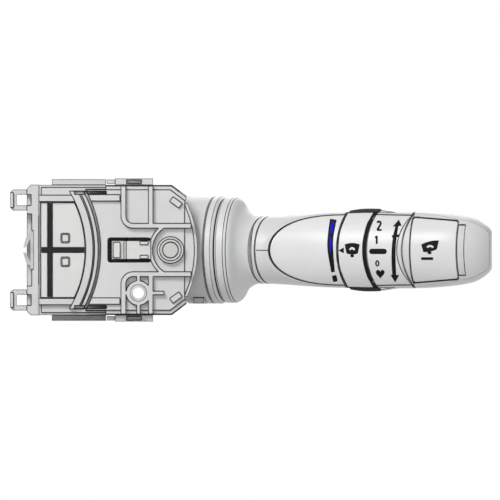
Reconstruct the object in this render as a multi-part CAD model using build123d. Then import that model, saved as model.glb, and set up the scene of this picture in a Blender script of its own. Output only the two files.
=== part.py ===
from build123d import *
from math import cos, hypot, radians, sin, sqrt
import os

os.makedirs("parts", exist_ok=True)

# A combination stalk switch: a moulded housing that clips to a steering column, and a wiper lever.
# X runs along the lever to the right and Z runs up. Y runs away from the driver.
# The origin is where the swing pivot's axis meets the rear seat, and "level" is the distance in
# front of that seat, so a level of 10 is Y = -10.

# Housing sizes
half_height = 24.2
body_left = -48.9
mouth_x = 5.25
corner_x = 0.56
corner_tip_x = 6.1
corner_tip_z = 20.0
mouth_half = 17.5
wall = 2.0
floor = 2.2
parting_level = 30.0
panel_level = 40.0
platform_level = 49.2
plate = 1.6
edge_lip = 0.4
edge_step = 1.8
edge_drop = 0.8
panel_edge_inset = 0.9
panel_edge_drop = 0.5
rib = 1.8
rib_rise = 1.8
fit_gap = 0.1
part_gap = 0.3

# The steering column that the housing's hollow side faces
column_x = -73.5
column_radius = 42.0
column_rib = 2.7
column_strip_start = 45.3
column_strip_end = 46.6
column_strip_rise = 1.4
column_groove = 1.4
column_wall_inner = 47.6
column_wall = 1.6
corner_step_x = -24.0
corner_step_z = half_height - 1.6

# Lip over the drum
lip_radius = 41.7
lip_apex = 10.1
lip_edge = 1.2
lip_drop = 0.5

# Lever axis, its lean towards the driver, and the motions that the housing leaves room for
lever_level = 22.0
lever_tilt = 14.0
pull_angle = 6.0
step_angle = 5.0
steps_up = 3
steps_down = 1

# Swing pivot
trunnion_radius = 2.9
bush_radius = 4.05
boss_radius = 4.95
running_gap = 0.06
rear_boss_level = 6.0
rear_skin = 1.0

# Mounting boss
mount_x = -11.9
mount_z = -16.0
mount_boss_radius = 4.6
sleeve_radius = 3.0
sleeve_bore = 2.05

# Case screws
screw_radius = 1.4
screw_head_radius = 2.6
screw_head = 1.2
screw_length = 36.0
pillar_radius = 3.2
screw_places = [(-43.0, 18.4), (-43.0, -18.4), (-14.0, 17.6)]

# Circuit board and wiper contacts
board_level = 2.8
board_thick = 1.6
board_left = -38.5
board_right = -6.4
board_half = 19.0
contact_thick = 0.3
track_pitch = 2.8
track_width = 1.4
slider_x = -12.0
slider_width = 8.0
slider_half = 5.0
slider_low = 5.2
slider_high = 9.6
guide_wall = 1.3
guide_high = 8.4
drive_pin_radius = 1.5

# Swing carrier, which holds the lever on an upright pin
carrier_half_x = 7.0
carrier_half_z = 10.0
carrier_half_y = 9.5
carrier_wall = 2.5
pull_pin_radius = 2.0
pull_pin_tail = 3.2

# Detent
nose_radius = 1.0
nose_reach = 23.5
cam_gap = 0.2
cam_thick = 4.5
cam_half_width = 4.5
dimple_radius = 1.2
plunger_radius = 1.94
plunger_length = 8.0
arm_sleeve_radius = 3.3
spring_wire = 0.25

# Connector and its latches
end_plate = 4.5
plate_left = body_left - end_plate
plate_half = 24.3
socket_half = 11.0
socket_low = 6.5
socket_high = 18.0
socket_depth = 12.4
socket_wall = 1.9
pin_size = 0.64
pin_pitch = 3.2
pins_in_row = 6
hook_length = 6.2
hook_left = plate_left - hook_length
hook_slot = 1.6
clip_level = 32.0
hook_nose = 2.4
hook_frame = 1.9
hook_bevel = 1.1
hook_low_z = 14.7
hook_high_z = 22.5
hook_level = 30.0
hook_high = 38.0

# Lever sizes, along the lever from the pivot and round its axis
drum_radius = 19.9
drum_start = 7.0
drum_end = 21.2
drum_wall = 1.6
web_start = 17.5
web_thick = 2.0
drum_clear = 0.6
lug_start = 11.2
lug_end = 15.2
lug_height = 2.2
lug_rise = 0.505
lug_low = drum_radius - lug_height
lug_reach = sqrt(drum_radius ** 2 - lug_low ** 2) + lug_rise
bell_step = 0.3
bell_rim = drum_radius - bell_step
shell_wall = 1.7
panel_wall = 1.5
panel_edge = 0.5
seam_angle = 12.7
seam_place = 36.0
neck_width = 2.0
seam_gap = 0.25
sleeve_end = 93.9
tip_end = 123.2
tip_x = tip_end * cos(radians(lever_tilt))
tip_flat = 5.5
nose_back = 3.0
nose_half = 9.8
front_radius = 16.7
grip_back = 3.2
grip_depth = 1.9
grip_teeth = 62
tooth_depth = 0.45
journal_radius = 8.6
journal_wall = 1.6
arm_half_y = 3.0
arm_half_z = 6.0
arm_end = 42.0
lever_board_thick = 1.2
lever_board_half = 6.4
lever_board_back = 1.0
pad_start = 94.5
pad_end = 111.8
pad_half_start = 12.0
pad_half_end = 10.6
pad_drop = 0.6
pad_thick = 2.2
pad_gap = 0.35
pad_corner = 0.9
pad_back = 4.4
pad_room = 3.0
scoop_drop = 0.7
step_end = 114.8
step_half = 9.4
dome_height = 3.6
dome_radius = 4.0

# Half-heights of the lever behind its bell, and how far its front stands before the lever's axis
stem_profile = [(34.0, 12.5), (42.0, 12.7), (54.6, 13.6), (67.4, 14.1), (89.0, 14.3), (105.7, 13.6),
                (114.4, 12.4)]
bell_profile = [(25.1, bell_rim), (26.9, bell_rim - 1.0), (28.4, bell_rim - 3.5), (30.8, 13.7),
                (34.0, 12.5)]
front_depths = [(28.0, 13.9), (36.0, 12.95), (41.2, 12.17), (47.2, 11.33), (53.2, 10.64), (59.0, 10.2),
                (68.0, 10.3), (80.0, 10.7), (92.0, 11.0), (105.0, 10.9), (114.0, 10.0), (118.5, 8.1),
                (tip_end - 1.9, 5.9), (tip_end, 3.7), (tip_end + 2.8, 0.2)]
crown_profile = [(66.0, 14.15), (69.5, 14.85), (73.4, 15.4), (78.0, 15.5), (83.5, 15.2)]
shoulder_profile = [(76.0, 15.5), (82.0, 15.1), (86.0, 14.5), (sleeve_end, 14.25)]

# The turned faces at the ring's two ends, as places along the lever and distances from its axis
ring_core = 66.2
ring_start_edge = [(ring_core, 9.7), (68.4, 14.2), (69.3, 16.0)]
ring_end_edge = [(76.4, 8.1), (77.5, 10.3), (80.1, 14.2), (82.4, 16.0)]

# The tip cap's curved front edge and the scoop behind the pad, as arcs seen from the front
cap_arc_radius = 20.9
cap_arc_start = 89.5
scoop_arc_radius = 33.5
scoop_arc_start = 91.3

swing_up = steps_up * step_angle
swing_down = steps_down * step_angle
lever_place = Location((0, -lever_level, 0), (0, 0, -lever_tilt))


def prism(sketch, low, high):
    face = Plane((0, -low, 0), x_dir=(1, 0, 0), z_dir=(0, -1, 0)) * sketch
    return extrude(face, high - low, dir=(0, -1, 0))


def block(x0, x1, z0, z1, low, high):
    return Pos((x0 + x1) / 2, -(low + high) / 2, (z0 + z1) / 2) * Box(x1 - x0, high - low, z1 - z0)


def post(x, z, radius, low, high):
    return prism(Pos(x, z) * Circle(radius), low, high)


def area(x0, x1, z0, z1):
    return Pos((x0 + x1) / 2, (z0 + z1) / 2) * Rectangle(x1 - x0, z1 - z0)


def round_area(x0, x1, z0, z1, radius):
    return Pos((x0 + x1) / 2, (z0 + z1) / 2) * RectangleRounded(x1 - x0, z1 - z0, radius)


def lever_box(u0, u1, v0, v1, z0, z1):
    return Pos((u0 + u1) / 2, (v0 + v1) / 2, (z0 + z1) / 2) * Box(u1 - u0, v1 - v0, z1 - z0)


def rod(radius, u0, u1):
    return Pos((u0 + u1) / 2, 0, 0) * Rot(0, 90, 0) * Cylinder(radius, u1 - u0)


def turned(points):
    return revolve(make_face(Polyline(*points, close=True)), Axis.X, 360)


def write(shape, name):
    export_step(shape, "parts/" + name + ".step")


def placed(shape, name):
    write(lever_place * shape, name)


# Outlines of the housing, seen from the driver

def housing_outline():
    half = [(body_left, half_height), (corner_x, half_height), (corner_tip_x, corner_tip_z),
            (mouth_x, mouth_half)]
    low = [(x, -z) for x, z in reversed(half)]
    return Polygon(*(half + low), align=None)


def column_circle(radius):
    return Pos(column_x, 0) * Circle(radius)


def mouth_outline():
    # The area that the drum sweeps as the lever swings
    reach = hypot(drum_start, drum_radius) + drum_clear
    swept = Circle(reach) & area(-wall, reach, -reach, reach)
    half = drum_radius + drum_clear
    strip = area(drum_start - drum_clear, drum_radius * 2, -half, half)
    for angle in (-swing_down, 0, swing_up):
        swept += Rot(0, 0, angle) * strip
    return swept


def edge_outline(inset):
    # The outline moved in along its sides and corners, but not at the mouth
    far_x = 2 * corner_tip_x - corner_x
    far_z = 2 * corner_tip_z - half_height
    half = [(body_left, half_height), (corner_x, half_height), (far_x, far_z)]
    low = [(x, -z) for x, z in reversed(half)]
    return offset(Polygon(*(half + low), align=None), -inset, kind=Kind.INTERSECTION) & outline


def corner_steps(grow):
    # The two corners beside the column's recess, where the platform steps down to the panel
    side = area(body_left - 1, corner_step_x + grow, corner_step_z - grow, half_height + 1)
    return side + mirror(side, Plane.XZ)


outline = housing_outline()
inside = offset(outline, -wall, kind=Kind.INTERSECTION)
mouth = mouth_outline()
platform_inside = platform_level - plate
front_top = platform_level + rib_rise


def screw_bores():
    bores = [post(x, z, screw_radius, -1, screw_length + 0.5) for x, z in screw_places]
    heads = [post(x, z, screw_head_radius + fit_gap, -1, screw_head) for x, z in screw_places]
    return bores + heads


rear_pocket = 0.6
rear_pockets = [(-46.6, -40.6, -14.4, 14.4), (-38.4, -20.2, 2.0, 20.4), (-38.4, -20.2, -20.4, -2.0)]
rail_level = 16.0
rail_high = 24.0
rail_left = -44.1
rail_right = -24.0
rail_rise = 2.1
latch_left = -20.6
latch_right = -6.5
latch_rise = 2.4
latch_level = platform_level - 3
latch_window = 5.6


def rear_case():
    case = prism(outline, 0, parting_level) - prism(inside, floor, parting_level + 1)
    case -= prism(mouth, floor, parting_level + 1)
    case += post(0, 0, boss_radius, 0, rear_boss_level)
    for x, z in screw_places:
        case += post(x, z, pillar_radius, 0, parting_level)
    case += post(mount_x, mount_z, mount_boss_radius, 0, parting_level)
    for side in (1, -1):
        top = half_height * side
        rise = top + rail_rise * side
        case += block(rail_left, rail_right, min(top, rise), max(top, rise), rail_level, rail_high)
        for x in (board_left + 4, board_right - 3.4):
            case += post(x, side * (board_half - 2.4), 1.4, floor - fit_gap, board_level)
    case -= post(0, 0, bush_radius, rear_skin, rear_boss_level + 1)
    case -= post(mount_x, mount_z, sleeve_radius, -1, parting_level + 1)
    case -= block(body_left - 1, body_left + wall + 1, -socket_half - socket_wall - fit_gap,
                  socket_half + socket_wall + fit_gap, socket_low - socket_wall - fit_gap,
                  socket_high + socket_wall + fit_gap)
    for x0, x1, z0, z1 in rear_pockets:
        case -= prism(round_area(x0, x1, z0, z1, 1.2), -1, rear_pocket)
    for cut in screw_bores():
        case -= cut
    return case


bar_low_z = 18.0
bar_high_z = 20.4
slot_left = -23.3
slot_right = -7.3
slot_half = 4.5
pocket_left = -18.4
pocket_low_z = 8.1
pocket_right = 7.7
pocket_corner = 4.5
upright_left = -8.2
upright_right = -6.5
arc_wall_x = 3.0
arc_wall_radius = 11.0
arc_wall_thick = 1.3
boss_rib = 0.65
boss_rib_end = -2.4
groove_low_z = 20.7
groove_high_z = 21.9


def pocket_ribs():
    # Raised walls on the platform: two pockets, an upright in each, and a curved wall round the pivot
    big = half_height * 2
    top = half_height - edge_lip
    outer = round_area(pocket_left, big, pocket_low_z, big, pocket_corner)
    inner = round_area(pocket_left + rib, big, pocket_low_z + rib, big, pocket_corner - rib)
    walls = (outer - inner) & area(pocket_left, pocket_right, pocket_low_z, top)
    walls += area(upright_left, upright_right, pocket_low_z + rib / 2, top)
    mirrored = mirror(walls, Plane.XZ)
    ring = Pos(arc_wall_x, 0) * (Circle(arc_wall_radius) - Circle(arc_wall_radius - arc_wall_thick))
    ring = ring & area(-arc_wall_radius, 0, -pocket_low_z, pocket_low_z)
    boss = mount_boss_radius - 0.3
    boss_ribs = area(mount_x - boss_rib, mount_x + boss_rib, mount_z + boss, -pocket_low_z - 0.2)
    boss_ribs += area(mount_x - boss_rib, mount_x + boss_rib, -top, mount_z - boss)
    boss_ribs += area(pocket_left + 0.4, mount_x - boss, mount_z - boss_rib, mount_z + boss_rib)
    boss_ribs += area(mount_x + boss, boss_rib_end, mount_z - boss_rib, mount_z + boss_rib)
    return prism(walls + mirrored + ring + boss_ribs, platform_inside + fit_gap, front_top)


def lip_outline(reach):
    arc = Pos(lip_apex - lip_radius, 0) * Circle(lip_radius - lip_apex + reach)
    return arc & area(0, lip_apex, -mouth_half, mouth_half)


def front_cover():
    high = prism(outline, parting_level, platform_level - edge_drop * 2)
    for inset, drop in ((edge_lip, edge_drop), (edge_step, 0)):
        high += prism(edge_outline(inset), parting_level, platform_level - drop)
    high -= prism(column_circle(column_wall_inner) + corner_steps(0), parting_level - 1, front_top + 1)
    recess = column_circle(column_wall_inner + column_wall / 2) + corner_steps(wall / 2)
    low = prism(outline & recess, parting_level, panel_level - panel_edge_drop)
    low += prism(edge_outline(panel_edge_inset) & recess, parting_level, panel_level)
    cover = high + low
    cover -= prism(inside, parting_level - 1, panel_level - plate - 1.4)
    room = inside - column_circle(column_wall_inner + column_wall) - corner_steps(wall + column_wall / 2)
    cover -= prism(room, parting_level - 1, platform_inside)
    cover -= prism(mouth, parting_level - 1, platform_inside)
    cover += prism(lip_outline(lip_apex - lip_edge), platform_inside, platform_level - lip_drop)
    cover += prism(lip_outline(lip_apex), platform_inside, platform_inside + plate / 2)
    cover += pocket_ribs()
    ring = column_circle(column_radius + column_rib) - column_circle(column_radius)
    within = area(body_left, 0, -groove_high_z, groove_high_z)
    cover += prism(ring & within, panel_level - 1, panel_level + 2.4)
    strip = column_circle(column_strip_end) - column_circle(column_strip_start)
    cover += prism(strip & within, panel_level - 1, panel_level + column_strip_rise)
    groove = column_circle(column_wall_inner) - column_circle(column_strip_end)
    cover -= prism(groove & within, panel_level - column_groove, panel_level + 1)
    bar_end = column_x + column_radius - 3.6
    for side in (1, -1):
        inner = bar_low_z * side
        outer = bar_high_z * side
        cover += block(body_left, bar_end, min(inner, outer), max(inner, outer),
                       panel_level - 1, panel_level + 1.6)
        strip = area(-30.7, pocket_left - 0.4, min(inner, outer) + 0.2, max(inner, outer) + 0.2)
        cover += prism(strip - column_circle(column_wall_inner), platform_level - 1, front_top - 0.6)
        top = half_height * side
        rise = top + latch_rise * side
        low = min(top, rise)
        high = max(top, rise)
        cover += block(latch_left, latch_right, low, high, parting_level, latch_level)
        cover += block(rail_right + part_gap, latch_left, low + 0.4, high - 0.4,
                       parting_level, latch_level - 1)
        middle = (latch_left + latch_right) / 2
        cover -= block(middle - latch_window / 2, middle + latch_window / 2, low + 0.5, high - 0.5,
                       latch_level - 2, latch_level + 1)
        groove_low = groove_low_z * side
        groove_high = groove_high_z * side
        groove = area(-35.7, -23.8, min(groove_low, groove_high), max(groove_low, groove_high))
        cover -= prism(groove, panel_level - 1, front_top + 1)
        bridge = Pos(2.05, 17.7 * side) * Rot(0, 0, -36 * side) * Rectangle(4.3, 2.2)
        cover += prism(bridge, platform_level - lip_drop - fit_gap, platform_level + 1)
    cover += post(0, 0, boss_radius, platform_inside, front_top)
    cover += post(mount_x, mount_z, mount_boss_radius, parting_level, front_top)
    for x, z in screw_places:
        top = panel_level - plate - 1.4 if x < column_x + column_radius else platform_inside
        cover += post(x, z, pillar_radius, parting_level, top + fit_gap)
    cover -= prism(terminal_outline(), panel_level - 1.4, panel_level + 1)
    slot = round_area(slot_left, slot_right, -slot_half, slot_half, 1.0)
    cover -= prism(slot, platform_inside - 1, front_top + 1)
    cover -= post(0, 0, bush_radius, platform_inside - 1, front_top + 1)
    cover -= post(mount_x, mount_z, sleeve_radius, parting_level - 1, front_top + 1)
    for cut in screw_bores():
        cover -= cut
    return cover


# Covers over the terminals, in the hollow side of the housing

def terminal_outline():
    return area(body_left + 0.6, 0, -bar_low_z + 0.2, bar_low_z - 0.2) & column_circle(column_radius - 0.2)


seal_left = -45.7
seal_width = 1.8
seal_groove = 0.9
mark_x = -39.1
mark_z = 4.4
mark_width = 3.3
mark_height = 3.6


def seal_outline(grow):
    half = bar_low_z - 0.6 + grow
    upright = area(seal_left - grow, seal_left + seal_width + grow, -half, half)
    half = seal_width / 2 + grow
    level = area(body_left + 1.0 - grow, column_x + column_radius - 0.6 + grow, -half, half)
    return upright + level


def terminal_cover():
    cover = prism(offset(terminal_outline(), -fit_gap), panel_level - 1.4, panel_level + 0.5)
    cover -= prism(seal_outline(0), panel_level + 0.5 - seal_groove, panel_level + 2)
    for side in (1, -1):
        mark = Pos(mark_x, mark_z * side) * RectangleRounded(mark_width, mark_height, 0.7)
        cover -= prism(mark - offset(mark, -0.45), panel_level + 0.2, panel_level + 2)
    return cover


def cover_seal():
    return prism(seal_outline(-0.05), panel_level + 0.5 - seal_groove, panel_level + 0.8)


# Column connector: the end plate with its socket, the pins, the hooks and the spring clip

def socket_pins():
    pins = []
    for row, level in enumerate((socket_low + 3.6, socket_high - 3.6)):
        bend = plate_left + socket_depth + socket_wall + 2.0 + 1.8 * row
        for i in range(pins_in_row):
            z = (i - (pins_in_row - 1) / 2) * pin_pitch
            half = pin_size / 2
            pin = block(plate_left + 3.5, bend, z - half, z + half, level - half, level + half)
            pin += block(bend - pin_size, bend, z - half, z + half, board_level + board_thick, level + half)
            pins.append(pin)
    return pins


def connector_housing():
    right = body_left - fit_gap
    bevel = 1.5
    face = Polygon((plate_left, -plate_half + bevel), (plate_left + bevel, -plate_half),
                   (right, -plate_half), (right, plate_half), (plate_left + bevel, plate_half),
                   (plate_left, plate_half - bevel), align=None)
    body = prism(face, floor, panel_level)
    body += block(body_left - 1, plate_left + socket_depth + socket_wall, -socket_half - socket_wall,
                  socket_half + socket_wall, socket_low - socket_wall, socket_high + socket_wall)
    body -= block(plate_left - 1, plate_left + socket_depth, -socket_half, socket_half,
                  socket_low, socket_high)
    for side in (1, -1):
        inner = 7.2 * side
        outer = 13.4 * side
        body -= block(plate_left - 1, plate_left + 1.8, min(inner, outer), max(inner, outer),
                      clip_level, panel_level + 1)
        inner = (hook_low_z + hook_frame) * side
        outer = (hook_high_z - hook_frame) * side
        body -= block(plate_left - 1, plate_left + hook_slot, min(inner, outer), max(inner, outer),
                      hook_high - 2, panel_level + 1)
    body -= block(plate_left - 1, plate_left + 2.4, -7.2, 7.2, clip_level, panel_level + 1)
    for pin in socket_pins():
        body -= pin
    return body


def locking_hooks():
    hooks = []
    for side in (1, -1):
        low = hook_low_z + hook_bevel
        high = hook_high_z - hook_bevel
        face = Polygon((hook_left, low), (hook_left + hook_bevel, hook_low_z), (plate_left, hook_low_z),
                       (plate_left, hook_high_z), (hook_left + hook_bevel, hook_high_z), (hook_left, high),
                       align=None)
        face -= area(hook_left + hook_nose, plate_left, hook_low_z + hook_frame, hook_high_z - hook_frame)
        hook = prism(face, hook_level, hook_high)
        hook += block(hook_left, hook_left + hook_nose / 2, low, high, hook_high - fit_gap, hook_high + 1)
        hooks.append(hook if side == 1 else mirror(hook, Plane.XY))
    return Compound(hooks)


def retention_spring():
    low = clip_level + 0.6
    high = low + 6.2
    spine = block(plate_left + 1.3, plate_left + 2.4, -7.0, 7.0, low, high)
    for side in (1, -1):
        lance = Polygon((plate_left + 1.4, 5.8), (plate_left + 1.4, 4.6), (plate_left - 0.4, 0.9),
                        (plate_left - 1.4, 0.9), (plate_left - 0.2, 5.0), align=None)
        if side == -1:
            lance = mirror(lance, Plane.XZ)
        spine += prism(lance, low + 1, high - 1)
    return spine


# Circuit board, contacts and the block that the lever slides over them

def board_window():
    return area(-30.2, -23.4, -13.0, 9.0)


def circuit_board():
    sheet = area(board_left, board_right, -board_half, board_half) - board_window()
    sheet -= Pos(mount_x, mount_z) * Circle(mount_boss_radius + part_gap)
    sheet -= Pos(*screw_places[2]) * Circle(pillar_radius + part_gap)
    return prism(sheet, board_level, board_level + board_thick)


board_top = board_level + board_thick
guide_half_x = slider_width / 2 + part_gap
guide_low_z = -slider_half - 0.5 - abs(slider_x) * sin(radians(swing_up))
guide_high_z = slider_half + 0.5 + abs(slider_x) * sin(radians(swing_down))


def fixed_contacts():
    tracks = []
    for i in (-1, 0, 1):
        x = slider_x + i * track_pitch
        tracks.append(block(x - track_width / 2, x + track_width / 2, guide_low_z + 0.4, guide_high_z - 0.4,
                            board_top, board_top + contact_thick))
    return Compound(tracks)


def slider_guide():
    outer = area(slider_x - guide_half_x - guide_wall, slider_x + guide_half_x + guide_wall,
                 guide_low_z - guide_wall, guide_high_z + guide_wall)
    inner = area(slider_x - guide_half_x, slider_x + guide_half_x, guide_low_z, guide_high_z)
    return prism(outer - inner, board_top, guide_high)


def contact_slider():
    face = Pos(slider_x, 0) * RectangleRounded(slider_width, slider_half * 2, 1.0)
    slider = prism(face, slider_low, slider_high)
    swing_back = abs(slider_x) * (1 - cos(radians(swing_up)))
    reach = drive_pin_radius + part_gap
    slider -= block(slider_x - reach, slider_x + swing_back + reach, -drive_pin_radius - 0.2,
                    drive_pin_radius + 0.2, slider_low + 1, slider_high + 1)
    return slider


def slider_contacts():
    fingers = []
    for i in (-1, 0, 1):
        x = slider_x + i * track_pitch
        fingers.append(block(x - 0.5, x + 0.5, -2.4, 2.4, board_top + contact_thick + 0.15, slider_low))
    return Compound(fingers)


# Swing carrier with its trunnions, and the upright pin that the lever is pulled about

arm_low = slider_high + 0.8


def swing_carrier():
    rear = lever_level - carrier_half_y
    front = lever_level + carrier_half_y
    tube = block(-carrier_half_x, carrier_half_x, -carrier_half_z, carrier_half_z, rear, front)
    hollow_z = carrier_half_z - carrier_wall
    tube -= block(-carrier_half_x - 1, carrier_half_x + 1, -hollow_z, hollow_z, rear + 2.3, front - 2.3)
    tube += post(0, 0, trunnion_radius, front - 1, front_top)
    tube += post(0, 0, trunnion_radius, rear_skin + part_gap, rear + 1)
    tube += block(slider_x - drive_pin_radius - 0.5, -carrier_half_x + 1, -3, 3, arm_low, rear + 0.2)
    tube += post(slider_x, 0, drive_pin_radius, slider_low + 1.4, arm_low + 1)
    tube += block(-carrier_half_x, -carrier_half_x + 2, -3, 3, arm_low, rear + 1)
    tube -= Pos(0, -lever_level, 0) * Cylinder(pull_pin_radius, carrier_half_z * 3)
    return tube


def pull_pin():
    length = carrier_half_z * 2 + pull_pin_tail
    return Pos(0, -lever_level, pull_pin_tail / 2) * Cylinder(pull_pin_radius, length)


def pivot_bushes():
    front = post(0, 0, bush_radius, platform_inside, front_top)
    rear = post(0, 0, bush_radius, rear_skin, rear_boss_level)
    bore = post(0, 0, trunnion_radius + running_gap, 0, front_top + 1)
    return Compound([front - bore, rear - bore])


def detent_cam():
    # A curved comb that the lever's plunger clicks along
    face = nose_reach + cam_gap
    ring = Circle(face + cam_thick) - Circle(face)
    ring = ring & area(-face - cam_thick, -face * 0.8, -10.4, 5.6)
    for i in range(-steps_down, steps_up + 1):
        angle = radians(i * step_angle)
        place = face - 0.7
        ring -= Pos(-place * cos(angle), -place * sin(angle)) * Circle(dimple_radius)
    middle = lever_level - face * sin(radians(lever_tilt + pull_angle / 2))
    cam = prism(ring, middle - cam_half_width, middle + cam_half_width)
    cam += prism(area(-29.0, -25.2, -9.0, 4.5), floor, middle)
    return cam


def case_screws():
    screws = []
    for x, z in screw_places:
        screw = post(x, z, screw_head_radius, 0.1, screw_head)
        screw += post(x, z, screw_radius, 0.1, screw_length)
        screw -= post(x, z, 0.9, 0, screw_head * 0.8)
        screws.append(screw)
    return Compound(screws)


def mounting_sleeve():
    bore = post(mount_x, mount_z, sleeve_bore, -1, front_top + 1)
    return post(mount_x, mount_z, sleeve_radius, 0, front_top) - bore


def latch_tongue():
    # A springy tongue in the platform's slot, with a catch on its free end
    low = platform_level - 1.3
    tongue = block(slot_left + 1.4, slot_right, -slot_half + 1, slot_half - 1, low, platform_level - 0.2)
    catch_half = slot_half - 1.6
    tongue += block(slot_left + 2, slot_left + 4.6, -catch_half, catch_half, low, platform_level + 1.0)
    tongue += block(slot_left + 6, slot_left + 6.8, -slot_half + 1, slot_half - 1, low, platform_level + 0.3)
    for side in (1, -1):
        z = 2.6 * side
        tongue += block(slot_right - 4, slot_right - 1, z - 0.65, z + 0.65, low, platform_level + 0.4)
    return tongue


# Lever surfaces, in the lever's own frame: u along it, v away from the driver, z up

def stem_body(inset):
    profile = Spline(*[(u, r - inset, 0) for u, r in stem_profile])
    nose_end = tip_end - inset
    last = stem_profile[-1]
    nose = Spline((last[0], last[1] - inset, 0), (nose_end - nose_back, nose_half - inset / 2, 0),
                  (nose_end, tip_flat, 0), tangents=[profile % 1, (0.15, -1, 0)])
    first = stem_profile[0]
    rest = Polyline((nose_end, tip_flat, 0), (nose_end, 0, 0), (first[0], 0, 0),
                    (first[0], first[1] - inset, 0))
    body = revolve(make_face([profile, nose, rest]), Axis.X, 360)
    # The tip ends in an upright face that stands square to the housing, not to the leaning lever
    reach = tip_x - inset
    return body & (Rot(0, 0, lever_tilt) * Pos(reach / 2, 0, 0) * Box(reach, tip_end * 2, tip_end * 2))


def front_pipe(inset):
    # The large round surface that cuts the lever's front to a flatter face
    rings = []
    for u, depth in front_depths:
        at = Plane(origin=(u, front_radius - depth, 0), z_dir=(1, 0, 0))
        rings.append(at * Circle(front_radius - inset))
    return loft(rings)


def seam_side(place):
    side = Pos(tip_end / 2, 0, 0) * Box(tip_end, through * 2, through * 2)
    return Pos(place, 0, 0) * Rot(0, 0, -seam_angle) * side


def span(u0, u1):
    return lever_box(u0, u1, -through, through, -through, through)


def past(edge, gap):
    # Everything beyond a turned face, moved along the lever by a gap
    inner = edge[0]
    outer = edge[-1]
    slope = (outer[0] - edge[-2][0]) / (outer[1] - edge[-2][1])
    rim = outer[0] + slope * (through - outer[1])
    end = tip_end * 2
    return Pos(gap, 0, 0) * turned([(end, 0), (inner[0], 0)] + edge + [(rim, through), (end, through)])


def front_arc(start, radius):
    # An upright cylinder that draws an arc on the lever's front
    return Pos(start + radius, -through / 2, 0) * Rot(90, 0, 0) * Cylinder(radius, through)


through = 40.0
stem_outer = stem_body(0)
stem_inner = stem_body(shell_wall)
pipe_outer = front_pipe(0)
pipe_inner = front_pipe(panel_wall)
pipe_seat = front_pipe(panel_wall + fit_gap)
neck_end = seam_place + neck_width
stem_shell = stem_outer - stem_inner
stem_lip = (stem_outer & pipe_outer) - stem_body(panel_edge)
panel_body = (stem_body(panel_edge + fit_gap) & pipe_outer) - pipe_inner
panel_room = stem_body(panel_edge) - pipe_seat


def lever_arm():
    web_end = web_start + web_thick
    sleeve_inner = arm_sleeve_radius - 1.3
    sleeve_start = -nose_centre + plunger_length - 4.0
    arm = Cylinder(6.0, (carrier_half_z - carrier_wall - 0.2) * 2)
    arm += lever_box(0, web_end + 0.5, -arm_half_y - 0.5, arm_half_y + 0.5, -5, 5)
    arm += lever_box(web_end, arm_end, -arm_half_y, arm_half_y, -arm_half_z, arm_half_z)
    arm += rod(10.0, web_end, web_end + 1.4)
    arm += rod(neck_bore, arm_end - 4, arm_end)
    arm += rod(arm_sleeve_radius, sleeve_start, -2)
    arm -= rod(sleeve_inner, sleeve_start - 1, -7)
    arm -= Cylinder(pull_pin_radius + running_gap, carrier_half_z * 3)
    return arm


neck_bore = 9.2
nose_centre = (nose_reach - nose_radius) / cos(radians(lever_tilt))


def detent_plunger():
    shaft = rod(plunger_radius, -nose_centre + 1.6, -nose_centre + plunger_length)
    tip = Pos(-nose_centre, 0, 0) * Sphere(nose_radius)
    cone = Pos(-nose_centre + 0.8, 0, 0) * Rot(0, 90, 0) * Cone(nose_radius, plunger_radius, 1.6)
    return shaft + tip + cone


def coil(radius, length, turns):
    path = Helix(length / turns, length, radius)
    return sweep(Plane(path @ 0, z_dir=path % 0) * Circle(spring_wire), path)


def detent_spring():
    start = -nose_centre + plunger_length + spring_wire
    length = -7.0 - spring_wire - start
    return Pos(start, 0, 0) * Rot(0, 90, 0) * coil(1.45, length, 6)


def return_spring():
    length = pull_pin_tail - spring_wire * 4
    place = Pos(0, -lever_level, carrier_half_z + spring_wire + fit_gap)
    return place * coil(pull_pin_radius + spring_wire + part_gap, length, 3)


def drum():
    web_end = web_start + web_thick
    inner = drum_radius - drum_wall
    rim = drum_radius - 1.0
    profile = [(drum_start, drum_radius - 0.5), (drum_start + 0.5, drum_radius), (17.1, drum_radius),
               (17.4, drum_radius - 0.45), (17.7, drum_radius), (drum_end - 1.3, drum_radius), (drum_end, rim),
               (drum_end, inner - 1), (web_end, inner - 1), (web_end, 0), (web_start, 0), (web_start, inner),
               (drum_start, inner)]
    cup = turned(profile)
    cup -= lever_box(web_start - 1, web_end + 1, -arm_half_y - 0.5, arm_half_y + 0.5, -5, 5)
    notch = Rot(0, 0, lever_tilt) * Pos(0, -20, 0) * Rot(90, 0, 0) * Cylinder(trunnion_radius + 3.6, 40)
    lug = lever_box(lug_start, lug_end, -lug_reach, -lug_reach / 2, -drum_radius, -lug_low)
    return cup - notch + lug


def bell_shroud():
    curve = Spline(*[(u, r, 0) for u, r in bell_profile])
    hollow = Spline(*[(u - 0.5, r - shell_wall, 0) for u, r in bell_profile])
    first = bell_profile[0]
    last = bell_profile[-1]
    rim = drum_radius - 1.0
    outline = Polyline((last[0], last[1], 0), (last[0], 0, 0), (drum_end, 0, 0), (drum_end, rim, 0),
                       (drum_end + 0.8, bell_rim, 0), (first[0], first[1], 0))
    back = last[0] - 0.5
    room = Polyline((back, last[1] - shell_wall, 0), (back, 0, 0), (drum_end - 1, 0, 0),
                    (drum_end - 1, first[1] - shell_wall, 0), (first[0] - 0.5, first[1] - shell_wall, 0))
    bell = revolve(make_face([curve, outline]), Axis.X, 360) + (stem_outer & span(last[0], arm_end))
    bell -= seam_side(seam_place - seam_gap)
    bell -= revolve(make_face([hollow, room]), Axis.X, 360)
    return bell - rod(last[1] - shell_wall, last[0] - 1, arm_end)


def neck_ring():
    ring = (stem_outer & seam_side(seam_place)) - seam_side(neck_end)
    ring += rod(neck_bore + 1.5, 31, 43) & pipe_seat
    return ring - rod(neck_bore, 20, 60)


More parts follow.
